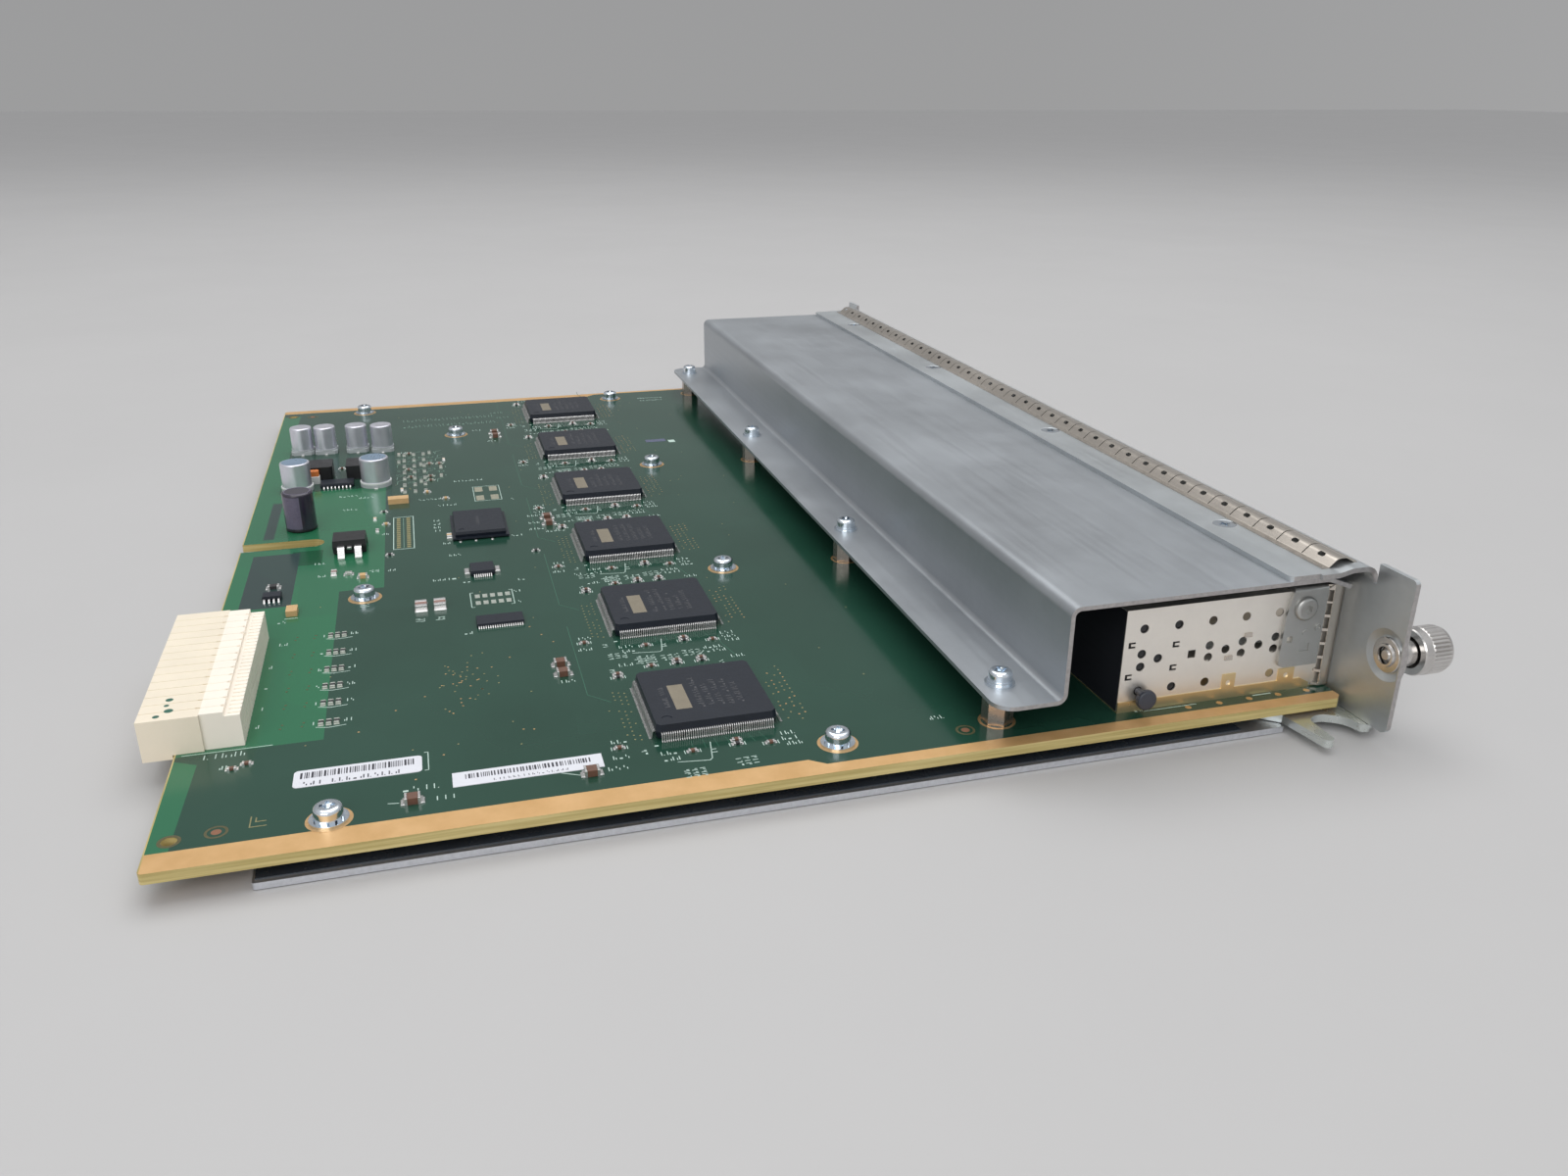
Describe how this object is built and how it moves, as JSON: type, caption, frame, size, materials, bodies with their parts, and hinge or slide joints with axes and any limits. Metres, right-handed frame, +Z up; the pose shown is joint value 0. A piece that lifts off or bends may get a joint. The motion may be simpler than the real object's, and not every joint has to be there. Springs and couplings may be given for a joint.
{
  "type": "switch line card",
  "caption": "Plug-in network switch line card: circuit board on a steel tray with a row of caged pluggable-module ports, folded cover and faceplate with captive thumbscrews and ejector levers.",
  "frame": {"origin": "centre of the overall box, on the plane of the base tray's underside", "axes": "+X along the faceplate towards its right end seen from above with the faceplate in front, +Y towards the rear connector edge, +Z up from the tray"},
  "size_m": [0.3848, 0.2861, 0.0424],
  "materials": {
    "board_laminate": "semi-gloss solder mask over glass laminate",
    "tray_steel": "zinc-plated sheet, satin",
    "black_film": "thin insulating film, glossy",
    "zinc_sheet": "passivated zinc plating, satin",
    "bright_zinc": "bright zinc plated steel",
    "nickel_sheet": "nickel plated copper alloy, satin",
    "turned_steel": "plain turned steel",
    "spring_steel": "music wire",
    "black_plastic": "moulded",
    "chip_black": "moulded epoxy",
    "cream_plastic": "moulded",
    "clear_plastic": "polished",
    "can_aluminium": "drawn can",
    "cap_sleeve": "shrink sleeve",
    "ceramic_brown": "fired ceramic with tinned ends",
    "resistor_black": "glazed",
    "tantalum_yellow": "moulded",
    "ferrite": "pressed ferrite",
    "paper": "coated label stock"
  },
  "bodies": {
    "card": {"circuit_board": "board_laminate", "base_tray": "tray_steel", "tray_insulator": "black_film", "cover_insulator": "black_film", "board_standoffs": "turned_steel", "board_washers": "bright_zinc", "board_lock_washers": "bright_zinc", "board_screws": "bright_zinc", "cover": "zinc_sheet", "cover_standoffs": "turned_steel", "cover_washers": "bright_zinc", "cover_lock_washers": "bright_zinc", "cover_screws": "bright_zinc", "faceplate": "zinc_sheet", "strip_screws": "bright_zinc", "cover_clinch_nuts": "turned_steel", "flange_rivets": "turned_steel", "top_emi_gasket": "nickel_sheet", "bottom_emi_gasket": "nickel_sheet", "cage_emi_collar": "nickel_sheet", "cage_shell_a": "nickel_sheet", "cage_shell_b": "nickel_sheet", "cage_shell_c": "nickel_sheet", "cage_shell_d": "nickel_sheet", "cage_floors": "nickel_sheet", "cage_partitions": "nickel_sheet", "cage_centre_channels": "nickel_sheet", "cage_rear_plates": "nickel_sheet", "port_connectors": "black_plastic", "light_pipes": "clear_plastic", "side_bracket_left": "zinc_sheet", "side_bracket_right": "zinc_sheet", "bracket_screws": "bright_zinc", "cage_side_plugs": "black_plastic", "thumbscrew_ferrules": "turned_steel", "thumbscrew_springs": "spring_steel", "lever_pivots": "turned_steel", "controller_chips": "chip_black", "logic_chips": "chip_black", "backplane_connector_housing": "cream_plastic", "backplane_connector_terminals": "cream_plastic", "capacitor_bases": "black_plastic", "can_capacitors": "can_aluminium", "sleeved_capacitor": "cap_sleeve", "power_transistor": "chip_black", "power_inductors": "ferrite", "tantalum_capacitors": "tantalum_yellow", "chip_capacitors": "ceramic_brown", "chip_resistors": "resistor_black", "board_labels": "paper"},
    "left_spring_seat": {"spring_seat_left": "turned_steel"},
    "left_thumbscrew": {"thumbscrew_left": "turned_steel"},
    "right_spring_seat": {"spring_seat_right": "turned_steel"},
    "right_thumbscrew": {"thumbscrew_right": "turned_steel"},
    "left_lever": {"ejector_lever_left": "bright_zinc"},
    "right_lever": {"ejector_lever_right": "bright_zinc"}
  },
  "joints": [
    {"name": "left_screw_travel", "type": "slide", "parent": "card", "child": "left_spring_seat", "axis": [0, 1, 0], "range_m": [0, 0.0032], "stiffness_N_per_m": 400, "springref_m": -0.005},
    {"name": "left_screw_turn", "type": "hinge", "parent": "left_spring_seat", "child": "left_thumbscrew", "pos_m": [-0.1867, -0.13145, 0.0222], "axis": [0, 1, 0], "continuous": true},
    {"name": "right_screw_travel", "type": "slide", "parent": "card", "child": "right_spring_seat", "axis": [0, 1, 0], "range_m": [0, 0.0032], "stiffness_N_per_m": 400, "springref_m": -0.005},
    {"name": "right_screw_turn", "type": "hinge", "parent": "right_spring_seat", "child": "right_thumbscrew", "pos_m": [0.1867, -0.13145, 0.0222], "axis": [0, 1, 0], "continuous": true},
    {"name": "left_lever_swing", "type": "hinge", "parent": "card", "child": "left_lever", "pos_m": [-0.1688, -0.11345, 0.0027], "axis": [0, 0, -1], "range_deg": [0, 50]},
    {"name": "right_lever_swing", "type": "hinge", "parent": "card", "child": "right_lever", "pos_m": [0.1688, -0.11345, 0.0027], "axis": [0, 0, 1], "range_deg": [0, 50]}
  ]
}
